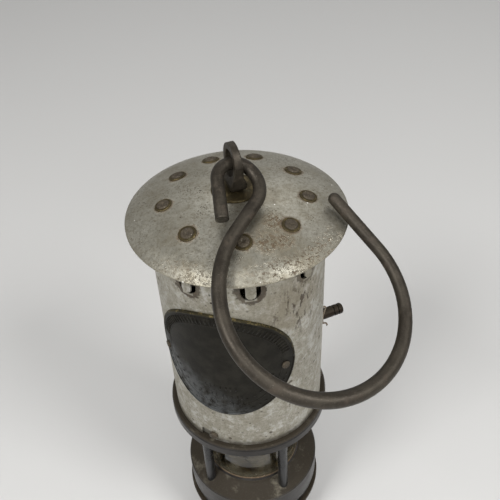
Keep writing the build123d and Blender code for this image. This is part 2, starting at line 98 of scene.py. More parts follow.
class Surface:
    """One procedural material, built on Object coordinates, which are metres in the frame."""

    def __init__(self, name, metallic=0.0, roughness=0.5):
        self.material = bpy.data.materials.new(name)
        self.material.use_nodes = True
        self.tree = self.material.node_tree
        self.shader = self.tree.nodes["Principled BSDF"]
        self.set(Metallic=metallic, Roughness=roughness)
        self.place = self.add("TexCoord").outputs["Object"]
        self.x, self.y, self.z = self.add("SeparateXYZ", {0: self.place}).outputs
        self.normal = None

    def add(self, kind, inputs=None, **settings):
        node = self.tree.nodes.new("ShaderNode" + kind)
        for name, value in settings.items():
            setattr(node, name, value)
        for key, value in (inputs or {}).items():
            self.feed(node.inputs[key], value)
        return node

    def feed(self, socket, value):
        if isinstance(value, bpy.types.NodeSocket):
            self.tree.links.new(value, socket)
        else:
            socket.default_value = value

    def set(self, **values):
        """Sets the shader's sockets; an underscore in a name stands for a space."""
        for name, value in values.items():
            self.feed(self.shader.inputs[name.replace("_", " ")], value)

    def calc(self, operation, a, b=0.0, c=0.0):
        return self.add("Math", {0: a, 1: b, 2: c}, operation=operation).outputs[0]

    def times(self, *factors):
        product = factors[0]
        for factor in factors[1:]:
            product = self.calc("MULTIPLY", product, factor)
        return product

    def either(self, a, b):
        return self.calc("MAXIMUM", a, b)

    def inverse(self, a):
        return self.calc("SUBTRACT", 1.0, a)

    def step(self, value, low, high):
        """0 at low, 1 at high, smooth between. With low above high it falls instead."""
        if low > high:
            return self.inverse(self.step(value, high, low))
        node = self.add("MapRange", {"Value": value, "From Min": low, "From Max": high},
                        interpolation_type="SMOOTHSTEP")
        return node.outputs[0]

    def noise(self, size, detail=4.0, roughness=0.6, stretch=(1, 1, 1), seed=0.0):
        """Fractal noise from 0 to 1 with features of about this size; stretch divides an axis's frequency."""
        scale = [1 / (size * factor) for factor in stretch]
        place = self.add("Mapping", {"Vector": self.place, "Location": (seed, seed * 0.7, -seed),
                                     "Scale": scale}).outputs[0]
        node = self.add("TexNoise", {"Vector": place, "Scale": 1.0, "Detail": detail,
                                     "Roughness": roughness})
        return node.outputs[0]

    def spots(self, size, reach, seed=0.0, stretch=(1, 1, 1)):
        """Round spots, one in each cell of this size, out to reach cells from its centre."""
        scale = [1 / (size * factor) for factor in stretch]
        place = self.add("Mapping", {"Vector": self.place, "Location": (seed, -seed, seed * 0.3),
                                     "Scale": scale}).outputs[0]
        cell = self.add("TexVoronoi", {"Vector": place, "Scale": 1.0, "Randomness": 1.0})
        return self.step(cell.outputs["Distance"], reach, reach * 0.55)

    def near(self, point, radius, edge=0.45, size=None):
        """1 at a point, falling to 0 at a radius, with a ragged edge of noise."""
        away = self.add("VectorMath", {0: self.place, 1: point}, operation="DISTANCE").outputs["Value"]
        ragged = self.noise(size or radius * 0.45, 5, 0.65, seed=point[0] * 900)
        reach = self.calc("MULTIPLY_ADD", ragged, edge * 2 * radius, radius * (1 - edge))
        share = self.calc("DIVIDE", away, reach)
        return self.step(share, 1.0, 0.35)

    def azimuth(self):
        return self.calc("ARCTAN2", self.y, self.x)

    def radius(self):
        squares = self.calc("ADD", self.times(self.x, self.x), self.times(self.y, self.y))
        return self.calc("SQRT", squares)

    def repeat(self, first, count):
        """Angle from the nearest of count azimuths spaced evenly from the first."""
        half = math.pi / count
        turned = self.calc("SUBTRACT", self.azimuth(), first)
        return self.calc("WRAP", turned, half, -half)

    def facing_up(self):
        normal = self.add("NewGeometry").outputs["Normal"]
        return self.add("SeparateXYZ", {0: normal}).outputs[2]

    def edges(self, width=0.4 * MM):
        """1 along the sharp edges of the shape, from the difference between bevelled and true normals."""
        bevelled = self.add("Bevel", {"Radius": width}, samples=6).outputs[0]
        true = self.add("NewGeometry").outputs["Normal"]
        match = self.add("VectorMath", {0: bevelled, 1: true}, operation="DOT_PRODUCT").outputs["Value"]
        return self.step(match, 0.985, 0.90)

    def mix(self, factor, a, b):
        node = self.add("Mix", data_type="RGBA")
        for socket, value in ((node.inputs[0], factor), (node.inputs[6], a), (node.inputs[7], b)):
            self.feed(socket, value)
        return node.outputs[2]

    def blend(self, factor, a, b):
        node = self.add("Mix", data_type="FLOAT")
        for socket, value in ((node.inputs[0], factor), (node.inputs[2], a), (node.inputs[3], b)):
            self.feed(socket, value)
        return node.outputs[0]

    def bump(self, height, distance, strength=1.0):
        """Adds a height field, 0 to 1, as relief of this depth."""
        inputs = {"Height": height, "Distance": distance, "Strength": strength}
        if self.normal is not None:
            inputs["Normal"] = self.normal
        self.normal = self.add("Bump", inputs).outputs[0]
        self.set(Normal=self.normal)


def tin_base(surface, bright):
    """Worn tin plate: mottled grey with dull clouds, bright rubs, dark grain and brown speckle."""
    clouds = surface.step(surface.noise(22 * MM, 6, 0.72, seed=3), 0.22, 0.72)
    mottle = surface.step(surface.noise(3.2 * MM, 6, 0.7, seed=11), 0.3, 0.72)
    rubs = surface.step(surface.noise(9 * MM, 6, 0.72, seed=23), 0.5, 0.72)
    colour = surface.mix(clouds, TIN_DULL, TIN)
    colour = surface.mix(surface.times(mottle, 0.5), colour, TIN)
    colour = surface.mix(surface.times(rubs, bright), colour, TIN_BRIGHT)
    grain = surface.noise(0.55 * MM, 3, 0.7, seed=5)
    colour = surface.mix(surface.step(grain, 0.56, 0.78), colour, TIN_DULL)
    speckle = surface.step(surface.noise(1.4 * MM, 6, 0.85, seed=27), 0.47, 0.60)
    colour = surface.mix(surface.times(speckle, 0.6), colour, (0.19, 0.165, 0.12, 1))
    return colour, clouds, mottle, grain


def pits(surface, size, reach, amount, seed):
    """Fine dark pits, thick in some patches and absent in others."""
    patches = surface.step(surface.noise(12 * MM, 4, 0.65, seed=seed + 40), 0.62 - amount, 0.78 - amount)
    return surface.times(surface.spots(size, reach, seed), patches)


def hood_tin():
    surface = Surface("worn_tin_hood", 0.82, 0.38)
    colour, clouds, mottle, grain = tin_base(surface, 0.25)
    fine = pits(surface, 1.1 * MM, 0.33, 0.16, 1)
    coarse = pits(surface, 2.6 * MM, 0.22, 0.10, 7)
    colour = surface.mix(surface.times(fine, 0.7), colour, PIT)
    colour = surface.mix(surface.times(coarse, 0.8), colour, PIT)
    film = surface.times(surface.step(surface.noise(16 * MM, 5, 0.6, seed=31), 0.48, 0.72), 0.4)
    colour = surface.mix(film, colour, (0.22, 0.185, 0.125, 1))

    # Rust: a blotch on the crown, specks down the band at the right and fewer at the left, stray
    # flecks, and a ring round each rivet.
    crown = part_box("hood")[1].z - 4 * MM
    blotches = surface.near((15.9 * MM, -22.3 * MM, crown), 7.5 * MM)
    for x, y, size in ((19.2, -31.6, 5.5), (12.0, -32.8, 7.5), (9.0, -27.0, 4.0)):
        blotches = surface.either(blotches, surface.near((x * MM, y * MM, crown - 2 * MM), size * MM))
    flecks = surface.step(surface.noise(1.7 * MM, 6, 0.8, seed=61), 0.47, 0.55)
    blotches = surface.times(blotches, flecks)
    band = surface.step(surface.radius(), HOOD_BAND_START, HOOD_BAND_START + 3.5 * MM)
    from_right = surface.calc("ADD", surface.azimuth(), math.radians(57))
    right = surface.step(surface.calc("COSINE", from_right), 0.80, 0.97)
    from_left = surface.calc("ADD", surface.azimuth(), math.radians(112))
    left = surface.step(surface.calc("COSINE", from_left), 0.90, 0.99)
    specks = surface.step(surface.noise(1.6 * MM, 6, 0.8, seed=71), 0.525, 0.565)
    specks = surface.times(specks, band, surface.either(right, surface.times(left, 0.55)))
    stray = surface.times(surface.step(surface.noise(2.6 * MM, 5, 0.78, seed=83), 0.665, 0.70), 0.85)

    seats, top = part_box("hood_washers")
    away = 1.0
    for azimuth in RIVET_AZIMUTHS:
        seat = polar(RIVET_CIRCLE, azimuth, (seats.z + top.z) / 2)
        gap = surface.add("VectorMath", {0: surface.place, 1: seat}, operation="DISTANCE").outputs["Value"]
        away = surface.calc("MINIMUM", away, gap)
    ragged = surface.noise(3 * MM, 6, 0.7, seed=91)
    ring = surface.step(surface.calc("SUBTRACT", away, surface.times(ragged, 4.2 * MM)), 3.3 * MM, 2.2 * MM)
    rust = surface.either(surface.either(blotches, specks), surface.either(stray, surface.times(ring, 0.85)))
    tone = surface.mix(surface.step(surface.noise(1.2 * MM, 4, 0.7, seed=97), 0.45, 0.75), RUST, RUST_PALE)
    halo = surface.times(surface.near((14.5 * MM, -28 * MM, crown), 15 * MM, 0.3), 0.4)
    colour = surface.mix(halo, colour, (0.20, 0.16, 0.095, 1))
    colour = surface.mix(surface.times(rust, 0.9), colour, tone)

    rim = surface.step(surface.radius(), HOOD_RIM_START, HOOD_RIM_START + 0.8 * MM)
    colour = surface.mix(surface.times(rim, 0.45), colour, TIN_DULL)
    lint = surface.spots(8 * MM, 0.058, 19)
    colour = surface.mix(lint, colour, (0.85, 0.84, 0.80, 1))
    surface.set(Base_Color=colour)
    surface.set(Metallic=surface.blend(surface.either(rust, lint), 0.86, 0.1))
    rough = surface.blend(mottle, 0.44, 0.27)
    rough = surface.blend(clouds, surface.calc("ADD", rough, 0.07), rough)
    surface.set(Roughness=surface.blend(surface.either(rust, fine), rough, 0.8))
    scratch = surface.noise(0.5 * MM, 2, 0.5, stretch=(22, 1.3, 1), seed=41)
    surface.bump(surface.noise(11 * MM, 2, 0.4, seed=53), 0.5 * MM, 0.5)
    surface.bump(grain, 0.045 * MM, 0.7)
    surface.bump(scratch, 0.02 * MM, 0.5)
    surface.bump(surface.inverse(surface.either(fine, coarse)), 0.06 * MM, 0.8)
    surface.bump(rust, 0.08 * MM, 0.8)
    return surface.material


def bonnet_tin():
    surface = Surface("worn_tin_bonnet", 0.6, 0.5)
    colour, _, mottle, grain = tin_base(surface, 0.7)
    streaks = surface.step(surface.noise(3.2 * MM, 5, 0.65, stretch=(1, 1, 6), seed=15), 0.44, 0.70)
    colour = surface.mix(surface.times(streaks, 0.6), colour, TIN_DULL)
    white = surface.step(surface.noise(6.5 * MM, 6, 0.72, seed=19), 0.48, 0.66)
    colour = surface.mix(surface.times(white, 0.55), colour, (0.64, 0.635, 0.61, 1))
    scuffs = surface.step(surface.noise(1.0 * MM, 4, 0.7, stretch=(1, 1, 2.6), seed=29), 0.54, 0.72)
    colour = surface.mix(surface.times(scuffs, 0.5), colour, TIN_DULL)
    fine = pits(surface, 1.5 * MM, 0.24, 0.10, 13)
    coarse = pits(surface, 4.2 * MM, 0.19, 0.16, 17)
    colour = surface.mix(surface.times(fine, 0.6), colour, PIT)
    colour = surface.mix(coarse, colour, RUST_DARK)

    # Brown stains: round each vent and below it, and in upright runs at the upper right.
    across = surface.times(surface.repeat(VENT_AZIMUTH, VENT_COUNT), BONNET_RADIUS)
    rise = surface.calc("SUBTRACT", surface.z, VENT_HEIGHT)
    wide = surface.calc("DIVIDE", across, 6.9 * MM)
    tall = surface.calc("DIVIDE", rise, 8.4 * MM)
    away = surface.calc("SQRT", surface.calc("ADD", surface.times(wide, wide), surface.times(tall, tall)))
    ragged = surface.noise(3.0 * MM, 5, 0.65, seed=37)
    vents = surface.step(surface.calc("SUBTRACT", away, surface.times(ragged, 0.9)), 0.62, 0.50)
    beside = surface.step(surface.calc("ABSOLUTE", across), TONGUE_HALF_WIDTH, TONGUE_HALF_WIDTH + 0.3 * MM)
    below = surface.step(rise, -6.0 * MM, -6.6 * MM)
    vents = surface.times(vents, surface.either(beside, below))
    uneven = surface.step(surface.noise(30 * MM, 2, 0.5, seed=43), 0.34, 0.55)
    vents = surface.times(vents, surface.blend(uneven, 0.6, 1.0))
    runs = surface.step(surface.noise(2.6 * MM, 5, 0.7, stretch=(1, 1, 3.2), seed=47), 0.53, 0.60)
    place = surface.near((25 * MM, -32.8 * MM, 206 * MM), 21 * MM, 0.3, 9 * MM)
    dots = surface.step(surface.noise(1.9 * MM, 5, 0.75, seed=67), 0.66, 0.69)
    dots = surface.either(dots, surface.spots(10 * MM, 0.12, 57))
    rust = surface.either(surface.either(vents, surface.times(runs, place)), surface.times(dots, 0.9))
    haze = surface.times(surface.near((22 * MM, -35 * MM, 211 * MM), 24 * MM, 0.35, 8 * MM), 0.45)
    colour = surface.mix(haze, colour, (0.25, 0.215, 0.15, 1))
    tone = surface.mix(surface.step(surface.noise(1.6 * MM, 4, 0.7, seed=73), 0.4, 0.7), RUST_DARK, RUST)
    colour = surface.mix(surface.times(rust, 0.88), colour, tone)
    # Painted shade: the bonnet's foot is darkened, with noise, full below this height and fading 3.4 mm above
    # it, for the shadow in the gap above the ring below
    foot = surface.step(surface.z, BONNET_FOOT_SHADE + 3.4 * MM, BONNET_FOOT_SHADE)
    foot = surface.times(foot, surface.noise(4 * MM, 4, 0.6, seed=79))
    colour = surface.mix(foot, colour, RUST_DARK)

    colour = surface.mix(0.14, colour, RUST_DARK)
    surface.set(Base_Color=colour)
    surface.set(Metallic=surface.blend(rust, surface.blend(white, 0.72, 0.5), 0.1))
    rough = surface.blend(mottle, 0.60, 0.42)
    surface.set(Roughness=surface.blend(surface.either(rust, fine), rough, 0.82))
    surface.bump(surface.noise(17 * MM, 2, 0.4, seed=59), 0.5 * MM, 0.45)
    surface.bump(grain, 0.06 * MM, 0.7)
    surface.bump(scuffs, 0.035 * MM, 0.5)
    surface.bump(surface.inverse(surface.either(fine, coarse)), 0.08 * MM, 0.8)
    surface.bump(rust, 0.08 * MM, 0.7)
    return surface.material


def forged_steel():
    """Hammered bar, dark with old oil and rust, rubbed lighter in specks and along its edges."""
    surface = Surface("forged_steel", 0.75, 0.45)
    surface.normal = surface.add("Bevel", {"Radius": 1.2 * MM}, samples=8).outputs[0]
    cloud = surface.step(surface.noise(9 * MM, 5, 0.65, seed=2), 0.35, 0.68)
    colour = surface.mix(cloud, (0.036, 0.030, 0.023, 1), FORGED)
    warm = surface.step(surface.noise(5 * MM, 5, 0.7, seed=8), 0.52, 0.70)
    colour = surface.mix(surface.times(warm, 0.5), colour, (0.058, 0.040, 0.026, 1))
    grain = surface.noise(0.7 * MM, 4, 0.75, seed=6)
    colour = surface.mix(surface.step(grain, 0.50, 0.85), colour, (0.105, 0.09, 0.07, 1))
    specks = surface.step(surface.noise(1.3 * MM, 5, 0.8, seed=14), 0.665, 0.715)
    colour = surface.mix(surface.times(specks, 0.75), colour, (0.34, 0.31, 0.26, 1))
    worn = surface.times(surface.edges(0.5 * MM), surface.step(grain, 0.35, 0.6))
    colour = surface.mix(surface.times(worn, 0.4), colour, (0.15, 0.13, 0.10, 1))
    surface.set(Base_Color=colour)
    surface.set(Metallic=surface.blend(warm, 0.7, 0.35))
    surface.set(Roughness=surface.blend(surface.either(warm, specks), surface.blend(cloud, 0.43, 0.55), 0.7))
    surface.bump(surface.noise(6.5 * MM, 2, 0.5, seed=21), 0.5 * MM, 0.55)
    surface.bump(surface.noise(1.6 * MM, 4, 0.7, seed=26), 0.10 * MM, 0.6)
    surface.bump(grain, 0.04 * MM, 0.7)
    return surface.material


def dark_steel(name, colour, seed, dusty=0.6, roughness=0.36, tinned_above=1.0):
    """Blued and oiled steel gone brown, with dust and grey rubs on what faces up."""
    surface = Surface(name, 0.8, roughness)
    surface.shader.inputs["Specular IOR Level"].default_value = 0.25
    cloud = surface.step(surface.noise(13 * MM, 5, 0.65, seed=seed), 0.36, 0.66)
    deep = tuple(value * 0.6 for value in colour[:3]) + (1,)
    base = surface.mix(cloud, deep, colour)
    up = surface.step(surface.facing_up(), 0.6, 0.84)
    rust = surface.step(surface.noise(4.5 * MM, 6, 0.75, seed=seed + 5), 0.60, 0.72)
    rust = surface.either(surface.times(rust, 0.5), surface.times(up, 0.85))
    base = surface.mix(rust, base, (0.030, 0.023, 0.014, 1))
    grain = surface.noise(0.8 * MM, 4, 0.7, seed=seed + 9)
    base = surface.mix(surface.times(surface.step(grain, 0.52, 0.85), 0.45), base, (0.12, 0.105, 0.08, 1))
    dust = surface.step(surface.noise(9 * MM, 6, 0.7, seed=seed + 14), 0.52, 0.74)
    dust = surface.times(dust, up, dusty)
    base = surface.mix(dust, base, DUST)
    worn = surface.times(surface.edges(), surface.step(grain, 0.3, 0.62))
    base = surface.mix(surface.times(worn, 0.35), base, (0.16, 0.145, 0.12, 1))
    base = surface.mix(surface.step(surface.z, tinned_above, tinned_above + 0.5 * MM), base, TIN)
    surface.set(Base_Color=base)
    surface.set(Metallic=surface.blend(surface.either(rust, dust), 0.85, 0.15))
    rough = surface.blend(cloud, roughness - 0.06, roughness + 0.1)
    surface.set(Roughness=surface.blend(surface.either(rust, dust), rough, 0.75))
    surface.bump(surface.noise(7 * MM, 2, 0.5, seed=seed + 20), 0.22 * MM, 0.4)
    surface.bump(grain, 0.05 * MM, 0.7)
    surface.bump(rust, 0.05 * MM, 0.6)
    return surface.material


def rusted_steel():
    surface = Surface("rusted_steel", 0.4, 0.65)
    cloud = surface.step(surface.noise(1.8 * MM, 5, 0.7, seed=33), 0.36, 0.66)
    colour = surface.mix(cloud, (0.045, 0.035, 0.024, 1), (0.085, 0.068, 0.046, 1))
    bare = surface.step(surface.noise(1.1 * MM, 4, 0.7, seed=39), 0.60, 0.70)
    colour = surface.mix(surface.times(bare, 0.7), colour, (0.36, 0.34, 0.29, 1))
    worn = surface.times(surface.edges(0.25 * MM), 0.3)
    colour = surface.mix(worn, colour, (0.20, 0.175, 0.13, 1))
    surface.set(Base_Color=colour, Metallic=surface.blend(bare, 0.45, 0.85))
    surface.set(Roughness=surface.blend(bare, 0.68, 0.36))
    surface.bump(surface.noise(0.8 * MM, 4, 0.7, seed=44), 0.12 * MM, 0.8)
    return surface.material


def old_brass(name="old_brass", tarnish=0.6, seed=50):
    surface = Surface(name, 0.8, 0.42)
    bare = 0.62 - 0.4 * tarnish
    cloud = surface.step(surface.noise(3.5 * MM, 5, 0.68, seed=seed), bare, bare + 0.3)
    colour = surface.mix(cloud, BRASS, BRASS_TARNISH)
    green = surface.step(surface.noise(2.4 * MM, 5, 0.7, seed=seed + 4), 0.58, 0.72)
    colour = surface.mix(surface.times(green, 0.45), colour, (0.085, 0.085, 0.045, 1))
    grain = surface.noise(0.6 * MM, 4, 0.7, seed=seed + 8)
    worn = surface.times(surface.edges(0.3 * MM), surface.step(grain, 0.3, 0.6))
    colour = surface.mix(surface.times(worn, 0.4), colour, (0.27, 0.22, 0.11, 1))
    surface.set(Base_Color=colour, Metallic=surface.blend(green, 0.85, 0.25))
    surface.set(Roughness=surface.blend(cloud, 0.36, 0.6))
    surface.bump(grain, 0.05 * MM, 0.6)
    return surface.material


def plate_metal():
    """Oval plate: black-brown patina, a painted blue-grey sheen at the lower left, and rubbed brass along the
    top with painted glints.
    """
    surface = Surface("plate_metal", 0.75, 0.42)
    surface.shader.inputs["Specular IOR Level"].default_value = 0.25
    cloud = surface.step(surface.noise(7 * MM, 5, 0.65, seed=52), 0.35, 0.68)
    colour = surface.mix(cloud, (0.0125, 0.0112, 0.0085, 1), (0.024, 0.022, 0.017, 1))
    low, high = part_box("identification_plate")
    middle = (low.z + high.z) / 2
    half = (high.z - low.z) / 2
    across = surface.times(surface.calc("SUBTRACT", surface.azimuth(), PLATE_AZIMUTH), 1 / PLATE_HALF_ANGLE)
    up = surface.times(surface.calc("SUBTRACT", surface.z, middle), 1 / half)
    out = surface.calc("SQRT", surface.calc("ADD", surface.times(across, across), surface.times(up, up)))
    ragged = surface.noise(5 * MM, 5, 0.6, seed=57)
    # Painted sheen: a blue-grey patch at the lower left stands in for a reflection; its roughness is lowered
    # there too
    lower_left = surface.calc("ADD", surface.times(across, -0.6), surface.times(up, -0.8))
    painted_sheen = surface.calc("ADD", lower_left, surface.times(ragged, 0.5))
    painted_sheen = surface.times(surface.step(painted_sheen, 0.55, 1.05), surface.step(ragged, 0.30, 0.55))
    colour = surface.mix(surface.times(painted_sheen, 0.75), colour, (0.080, 0.085, 0.088, 1))
    top_edge = surface.times(surface.step(out, 0.955, 0.99), surface.step(up, -0.15, 0.3))
    colour = surface.mix(surface.times(top_edge, 0.7), colour, (0.055, 0.047, 0.024, 1))
    # Painted highlight: brighter brass specks along the top edge stand in for glints
    painted_glints = surface.times(top_edge, surface.step(surface.noise(2.4 * MM, 5, 0.75, seed=63), 0.52, 0.62))
    colour = surface.mix(surface.times(painted_glints, 0.8), colour, (0.24, 0.19, 0.085, 1))
    grain = surface.noise(0.7 * MM, 4, 0.72, seed=69)
    flecks = surface.times(surface.step(grain, 0.56, 0.85), 0.35)
    colour = surface.mix(flecks, colour, (0.09, 0.082, 0.065, 1))
    surface.set(Base_Color=colour, Roughness=surface.blend(painted_sheen, 0.56, 0.36))
    surface.bump(surface.noise(6 * MM, 2, 0.5, seed=77), 0.2 * MM, 0.4)
    surface.bump(grain, 0.05 * MM, 0.7)
    return surface.material


def lamp_glass():
    """Thick glass with an amber tint and a film of oil and dust, thicker near its ends."""
    surface = Surface("lamp_glass", 0.0, 0.05)
    surface.shader.inputs["IOR"].default_value = 1.5
    low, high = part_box("glass")
    ends = surface.either(surface.step(surface.z, low.z + 9 * MM, low.z),
                          surface.step(surface.z, high.z - 7 * MM, high.z))
    film = surface.step(surface.noise(7 * MM, 5, 0.65, stretch=(1, 1, 2.5), seed=85), 0.42, 0.75)
    grime = surface.times(ends, surface.noise(3 * MM, 5, 0.7, seed=87))
    film = surface.either(surface.times(film, 0.5), grime)
    surface.set(Base_Color=surface.mix(film, (0.50, 0.45, 0.32, 1), (0.15, 0.13, 0.08, 1)))
    surface.set(Roughness=surface.blend(film, 0.03, 0.42))
    surface.set(Transmission_Weight=surface.blend(film, 1.0, 0.62))
    surface.bump(surface.noise(9 * MM, 2, 0.5, seed=89), 0.12 * MM, 0.4)
    return surface.material


def gauze_wire():
    surface = Surface("gauze_wire", 0.75, 0.5)
    cloud = surface.step(surface.noise(9 * MM, 5, 0.65, seed=101), 0.35, 0.66)
    colour = surface.mix(cloud, (0.045, 0.038, 0.031, 1), (0.15, 0.13, 0.105, 1))
    surface.set(Base_Color=colour, Roughness=surface.blend(cloud, 0.6, 0.42))
    surface.bump(surface.noise(0.5 * MM, 3, 0.6, seed=103), 0.04 * MM, 0.6)
    return surface.material


def seal_steel():
    surface = Surface("seal_wire_steel", 0.55, 0.5)
    cloud = surface.step(surface.noise(2.2 * MM, 4, 0.65, seed=107), 0.36, 0.64)
    colour = surface.mix(cloud, (0.14, 0.10, 0.065, 1), (0.30, 0.255, 0.20, 1))
    surface.set(Base_Color=colour, Roughness=surface.blend(cloud, 0.7, 0.45))
    surface.bump(surface.noise(0.5 * MM, 3, 0.6, seed=109), 0.05 * MM, 0.6)
    return surface.material


def cotton():
    surface = Surface("charred_cotton", 0.0, 0.95)
    weave = surface.noise(0.6 * MM, 4, 0.7, stretch=(1, 1, 3), seed=113)
    colour = surface.mix(surface.step(weave, 0.35, 0.7), (0.20, 0.165, 0.115, 1), (0.48, 0.42, 0.32, 1))
    char = surface.step(surface.z, CHAR_START, CHAR_START + 1.8 * MM)
    surface.set(Base_Color=surface.mix(char, colour, (0.02, 0.017, 0.014, 1)))
    surface.shader.inputs["Sheen Weight"].default_value = 0.25
    surface.bump(weave, 0.25 * MM, 0.8)
    return surface.material


def fibre():
    surface = Surface("gasket_fibre", 0.0, 0.85)
    cloud = surface.noise(1.4 * MM, 5, 0.7, seed=119)
    colour = surface.mix(surface.step(cloud, 0.35, 0.7), (0.10, 0.065, 0.04, 1), (0.25, 0.18, 0.11, 1))
    surface.set(Base_Color=colour)
    surface.bump(cloud, 0.1 * MM, 0.7)
    return surface.material


def floor_paper():
    surface = Surface("studio_floor", 0.0, 0.75)
    tone = surface.noise(0.5, 2, 0.4, seed=121)
    surface.set(Base_Color=surface.mix(tone, (0.60, 0.60, 0.60, 1), (0.62, 0.62, 0.62, 1)))
    return surface.material


def dress(material, *names):
    for name in names:
        mesh = nodes[name].data
        mesh.materials.clear()
        mesh.materials.append(material)


def dress_cad_nodes():
    ring_steel = dark_steel("ring_steel", (0.062, 0.058, 0.056, 1), 130, 0.75, tinned_above=TINNED_FROM)
    vessel_steel = dark_steel("vessel_steel", (0.058, 0.043, 0.031, 1), 150, 0.4, 0.42)
    pillar_steel = dark_steel("pillar_steel", (0.070, 0.070, 0.072, 1), 170, 0.3, 0.3)
    inner_steel = dark_steel("inner_steel", DARK_STEEL, 190, 0.2, 0.5)
    brass = old_brass()
    dark_brass = old_brass("dark_brass", 0.95, 70)
    tin = bonnet_tin()
    dress(hood_tin(), "hood")
    dress(tin, "bonnet_shell", "crown_ring")
    dress(forged_steel(), "hook", "swivel_eye")
    dress(ring_steel, "middle_ring", "lower_ring")
    dress(vessel_steel, "oil_vessel", "vessel_base_plate")
    dress(pillar_steel, *[name for name in nodes if name.startswith("pillar_")])
    dress(inner_steel, "gauze_foot_ring", "gauze_clamp_ring", "side_nozzle", "nozzle_nut", "swivel_burr")
    dress(brass, "wick_tube", "burner_plate", "pricker_tube", "pricker_knob", "filler_plug")
    dress(dark_brass, "hood_washers", "eye_washer")
    dress(rusted_steel(), "hood_rivets", "plate_rivets", "bayonet_studs")
    dress(plate_metal(), "identification_plate")
    dress(lamp_glass(), "glass")
    dress(cotton(), "wick", "cotton_wadding")
    dress(fibre(), "lower_gasket", "upper_gasket", "filler_washer")
    wire = gauze_wire()
    dress(wire, "outer_gauze", "inner_gauze")
    dress(seal_steel(), "pricker_rod", "seal_wire")
    return wire


# Pieces

def new_piece(name, mesh_builder, material, body):
    """Makes a smooth-shaded object from a bmesh, and lets it ride on a body."""
    mesh = bpy.data.meshes.new(name)
    bmesh.ops.recalc_face_normals(mesh_builder, faces=mesh_builder.faces)
    mesh_builder.to_mesh(mesh)
    mesh_builder.free()
    for polygon in mesh.polygons:
        polygon.use_smooth = True
    mesh.materials.append(material)
    piece = bpy.data.objects.new(name, mesh)
    bpy.context.scene.collection.objects.link(piece)
    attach(piece, body)
    return piece


def add_tube(build, points, radius, sides=10, closed=False):
    """Round tube through points, by frames carried along without twist."""
    count = len(points)
    across = None
    rings = []
    for index, point in enumerate(points):
        ahead = points[(index + 1) % count] if closed or index < count - 1 else point
        behind = points[index - 1] if closed or index > 0 else point
        along = (ahead - behind).normalized()
        if across is None:
            across = along.orthogonal()
        across = (across - along * across.dot(along)).normalized()
        beside = along.cross(across)
        ring = []
        for side in range(sides):
            turn = 2 * math.pi * side / sides
            ring.append(build.verts.new(point + (across * math.cos(turn) + beside * math.sin(turn)) * radius))
        rings.append(ring)
    last = count if closed else count - 1
    for index in range(last):
        ring, following = rings[index], rings[(index + 1) % count]
        for side in range(sides):
            other = (side + 1) % sides
            build.faces.new((ring[side], ring[other], following[other], following[side]))
    if not closed:
        for ring, point in ((rings[0], points[0]), (rings[-1], points[-1])):
            tip = build.verts.new(point)
            for side in range(sides):
                build.faces.new((ring[side], ring[(side + 1) % sides], tip))


def smooth_line(points, steps=8):
    """Catmull-Rom curve through the points."""
    ends = [points[0] * 2 - points[1], *points, points[-1] * 2 - points[-2]]
    line = []
    for index in range(len(points) - 1):
        a, b, c, d = ends[index:index + 4]
        for step in range(steps):
            t = step / steps
            line.append(0.5 * (2 * b + (c - a) * t + (2 * a - 5 * b + 4 * c - d) * t ** 2
                               + (3 * b - a - 3 * c + d) * t ** 3))
    return line + [points[-1]]


def polar(radius, azimuth, height):
    return Vector((radius * math.cos(azimuth), radius * math.sin(azimuth), height))


# Wire gauze in place of the two plain caps

def wire_gauze(node, material):
    """Woven cap: upright wires that weave in and out of hoops, closed by a wire disc on top."""
    low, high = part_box(node)
    pitch, wire = 2.1 * MM, 0.24 * MM
    foot = high.x - 1.5 * MM
    crown = foot - GAUZE_TAPER
    bottom, top = low.z + 0.3 * MM, high.z - 0.3 * MM
    uprights = 2 * round(math.pi * foot / pitch)
    hoops = round((top - bottom) / pitch)
    build = bmesh.new()

    def radius_at(level):
        return foot + (crown - foot) * level / hoops

    for upright in range(uprights):
        azimuth = 2 * math.pi * upright / uprights
        points = []
        for level in range(hoops + 1):
            weave = wire * 0.5 * (-1) ** (level + upright)
            points.append(polar(radius_at(level) + weave, azimuth, bottom + (top - bottom) * level / hoops))
        add_tube(build, points, wire / 2, 4)
    for level in range(hoops + 1):
        height = bottom + (top - bottom) * level / hoops
        points = []
        for upright in range(uprights):
            weave = wire * 0.5 * (-1) ** (level + upright + 1)
            points.append(polar(radius_at(level) + weave, 2 * math.pi * upright / uprights, height))
        add_tube(build, points, wire / 2, 4, closed=True)
    lines = round(2 * crown / pitch)
    for line in range(1, lines):
        offset = -crown + 2 * crown * line / lines
        reach = math.sqrt(crown ** 2 - offset ** 2)
        for turn in (0, 1):
            ends = (Vector((offset, -reach, top + wire * 0.3)), Vector((offset, reach, top + wire * 0.3)))
            spin = Matrix.Rotation(turn * math.pi / 2, 4, "Z")
            add_tube(build, [spin @ end for end in ends], wire / 2, 4)
    piece = new_piece(node + "_mesh", build, material, "cage")
    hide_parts(node)


# Relief on the oval plate: a border bead, a fan of ribs along the top and rows of plain dashes

def on_plate(across, up, lift):
    """Point on the plate: across and up run from -1 to 1 over the oval's half axes."""
    low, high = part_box("identification_plate")
    middle, half = (low.z + high.z) / 2, (high.z - low.z) / 2
    return polar(PLATE_RIM + lift, PLATE_AZIMUTH + across * PLATE_HALF_ANGLE, middle + up * half)


